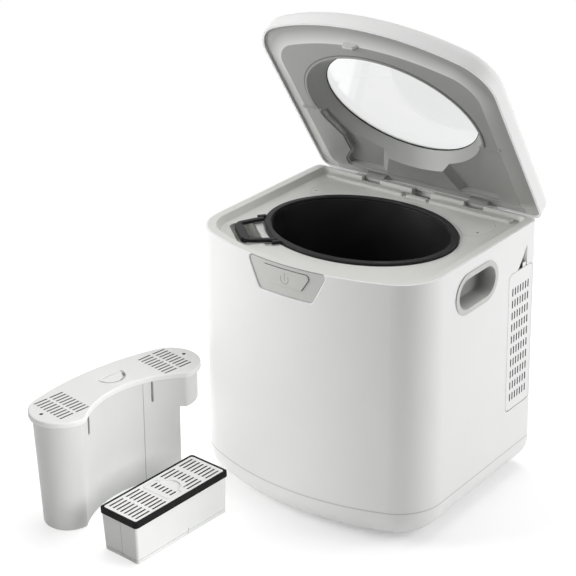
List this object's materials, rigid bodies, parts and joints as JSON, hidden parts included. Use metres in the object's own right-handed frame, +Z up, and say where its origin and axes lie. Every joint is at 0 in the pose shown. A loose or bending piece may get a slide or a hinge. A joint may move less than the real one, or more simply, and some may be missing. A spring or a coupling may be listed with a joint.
{
  "type": "electric food waste composter",
  "caption": "Countertop electric food waste composter with an open window lid, a lift-out bucket with a folding loop, and its two filter cartridges standing beside it.",
  "frame": {"origin": "on the floor, under the axis of the bucket and its stirrer", "axes": "+Z up, -Y out of the bowed front with the power button, +X towards the side with the vent door"},
  "size_m": [0.3944, 0.4662, 0.5414],
  "materials": {
    "body_white": "satin",
    "deck_grey": "fine texture",
    "liner_grey": "satin",
    "accent_grey": "satin",
    "window_glass": "clear",
    "gasket_black": "matt",
    "bucket_black": "non-stick coating",
    "rim_charcoal": "satin",
    "filter_white": "satin",
    "filter_grey": "satin",
    "carbon_black": "granular",
    "steel": "satin",
    "rotor_steel": "cast",
    "inner_plastic": "matt",
    "board_green": "lacquered",
    "aluminium": "satin",
    "foot_rubber": "matt",
    "inlet_black": "satin"
  },
  "bodies": {
    "machine": {"base_pan": "body_white", "feet": "foot_rubber", "base_screws": "steel", "outer_shell": "body_white", "top_deck": "deck_grey", "hinge_pins": "steel", "front_fascia": "accent_grey", "grip_cup_right": "accent_grey", "grip_cup_left": "accent_grey", "bucket_well": "aluminium", "heater_plate": "aluminium", "gearbox": "inner_plastic", "drive_motor": "steel", "motor_posts": "inner_plastic", "blower_housing": "inner_plastic", "control_board": "board_green", "power_inlet": "inlet_black", "filter_bay": "inner_plastic", "vent_bay": "inner_plastic"},
    "lid": {"lid_shell": "body_white", "lid_liner": "liner_grey", "window_pane": "window_glass", "window_gasket": "gasket_black"},
    "power_button": {"power_button": "accent_grey"},
    "bucket": {"bucket": "bucket_black", "bucket_rim": "rim_charcoal", "shaft_seal": "gasket_black"},
    "carrying_loop": {"carrying_loop": "rim_charcoal"},
    "stirrer": {"stirrer": "rotor_steel"},
    "drive": {"drive_shaft": "steel"},
    "fan": {"fan_wheel": "inner_plastic"},
    "filter_cover": {"filter_cover": "deck_grey"},
    "vent_door": {"vent_door": "body_white"},
    "large_filter": {"large_case": "filter_grey", "large_top": "filter_white", "large_carbon": "carbon_black"},
    "large_flap": {"large_flap": "filter_white"},
    "small_filter": {"small_case": "filter_grey", "small_gasket": "gasket_black", "small_grille": "filter_white", "small_carbon": "carbon_black"},
    "small_flap": {"small_flap": "filter_white"}
  },
  "joints": [
    {"name": "lid_hinge", "type": "hinge", "parent": "machine", "child": "lid", "pos_m": [0, 0.1295, 0.305], "axis": [-1, 0, 0], "range_deg": [-57, 0]},
    {"name": "button_press", "type": "slide", "parent": "machine", "child": "power_button", "axis": [0, 1, 0], "range_m": [0, 0.0015], "stiffness_N_per_m": 400},
    {"name": "bucket_lift", "type": "slide", "parent": "machine", "child": "bucket", "axis": [0, 0, 1], "range_m": [0, 0.05]},
    {"name": "loop_fold", "type": "hinge", "parent": "bucket", "child": "carrying_loop", "pos_m": [-0.08051, -0.06197, 0.3057], "axis": [-0.7689, 0.6394, 0], "range_deg": [0, 90]},
    {"name": "drive_spin", "type": "hinge", "parent": "machine", "child": "drive", "pos_m": [0, 0, 0.134], "axis": [0, 0, 1], "continuous": true},
    {"name": "stirrer_spin", "type": "hinge", "parent": "bucket", "child": "stirrer", "pos_m": [0, 0, 0.155], "axis": [0, 0, 1], "continuous": true},
    {"name": "fan_spin", "type": "hinge", "parent": "machine", "child": "fan", "pos_m": [0.03, 0.082, 0.098], "axis": [0, 1, 0], "continuous": true},
    {"name": "cover_lift", "type": "slide", "parent": "machine", "child": "filter_cover", "axis": [0, 0, 1], "range_m": [0, 0.025]},
    {"name": "vent_door_swing", "type": "hinge", "parent": "machine", "child": "vent_door", "pos_m": [0.15111, 0.092, 0.0944], "axis": [0, 1, 0], "range_deg": [0, 35]},
    {"name": "large_filter_lift", "type": "slide", "parent": "machine", "child": "large_filter", "axis": [0, 0, 1], "range_m": [0, 0.15]},
    {"name": "large_flap_hinge", "type": "hinge", "parent": "large_filter", "child": "large_flap", "pos_m": [-0.20975, -0.19012, 0.1378], "axis": [-0.1478, -0.989, 0], "range_deg": [0, 80]},
    {"name": "small_filter_lift", "type": "slide", "parent": "machine", "child": "small_filter", "axis": [0, 0, 1], "range_m": [0, 0.15]},
    {"name": "small_flap_hinge", "type": "hinge", "parent": "small_filter", "child": "small_flap", "pos_m": [-0.09878, -0.24378, 0.0518], "axis": [0.9981, -0.061, 0], "range_deg": [0, 80]}
  ],
  "couplings": [
    {"joint": "stirrer_spin", "follows": "drive_spin", "ratio": 1}
  ]
}
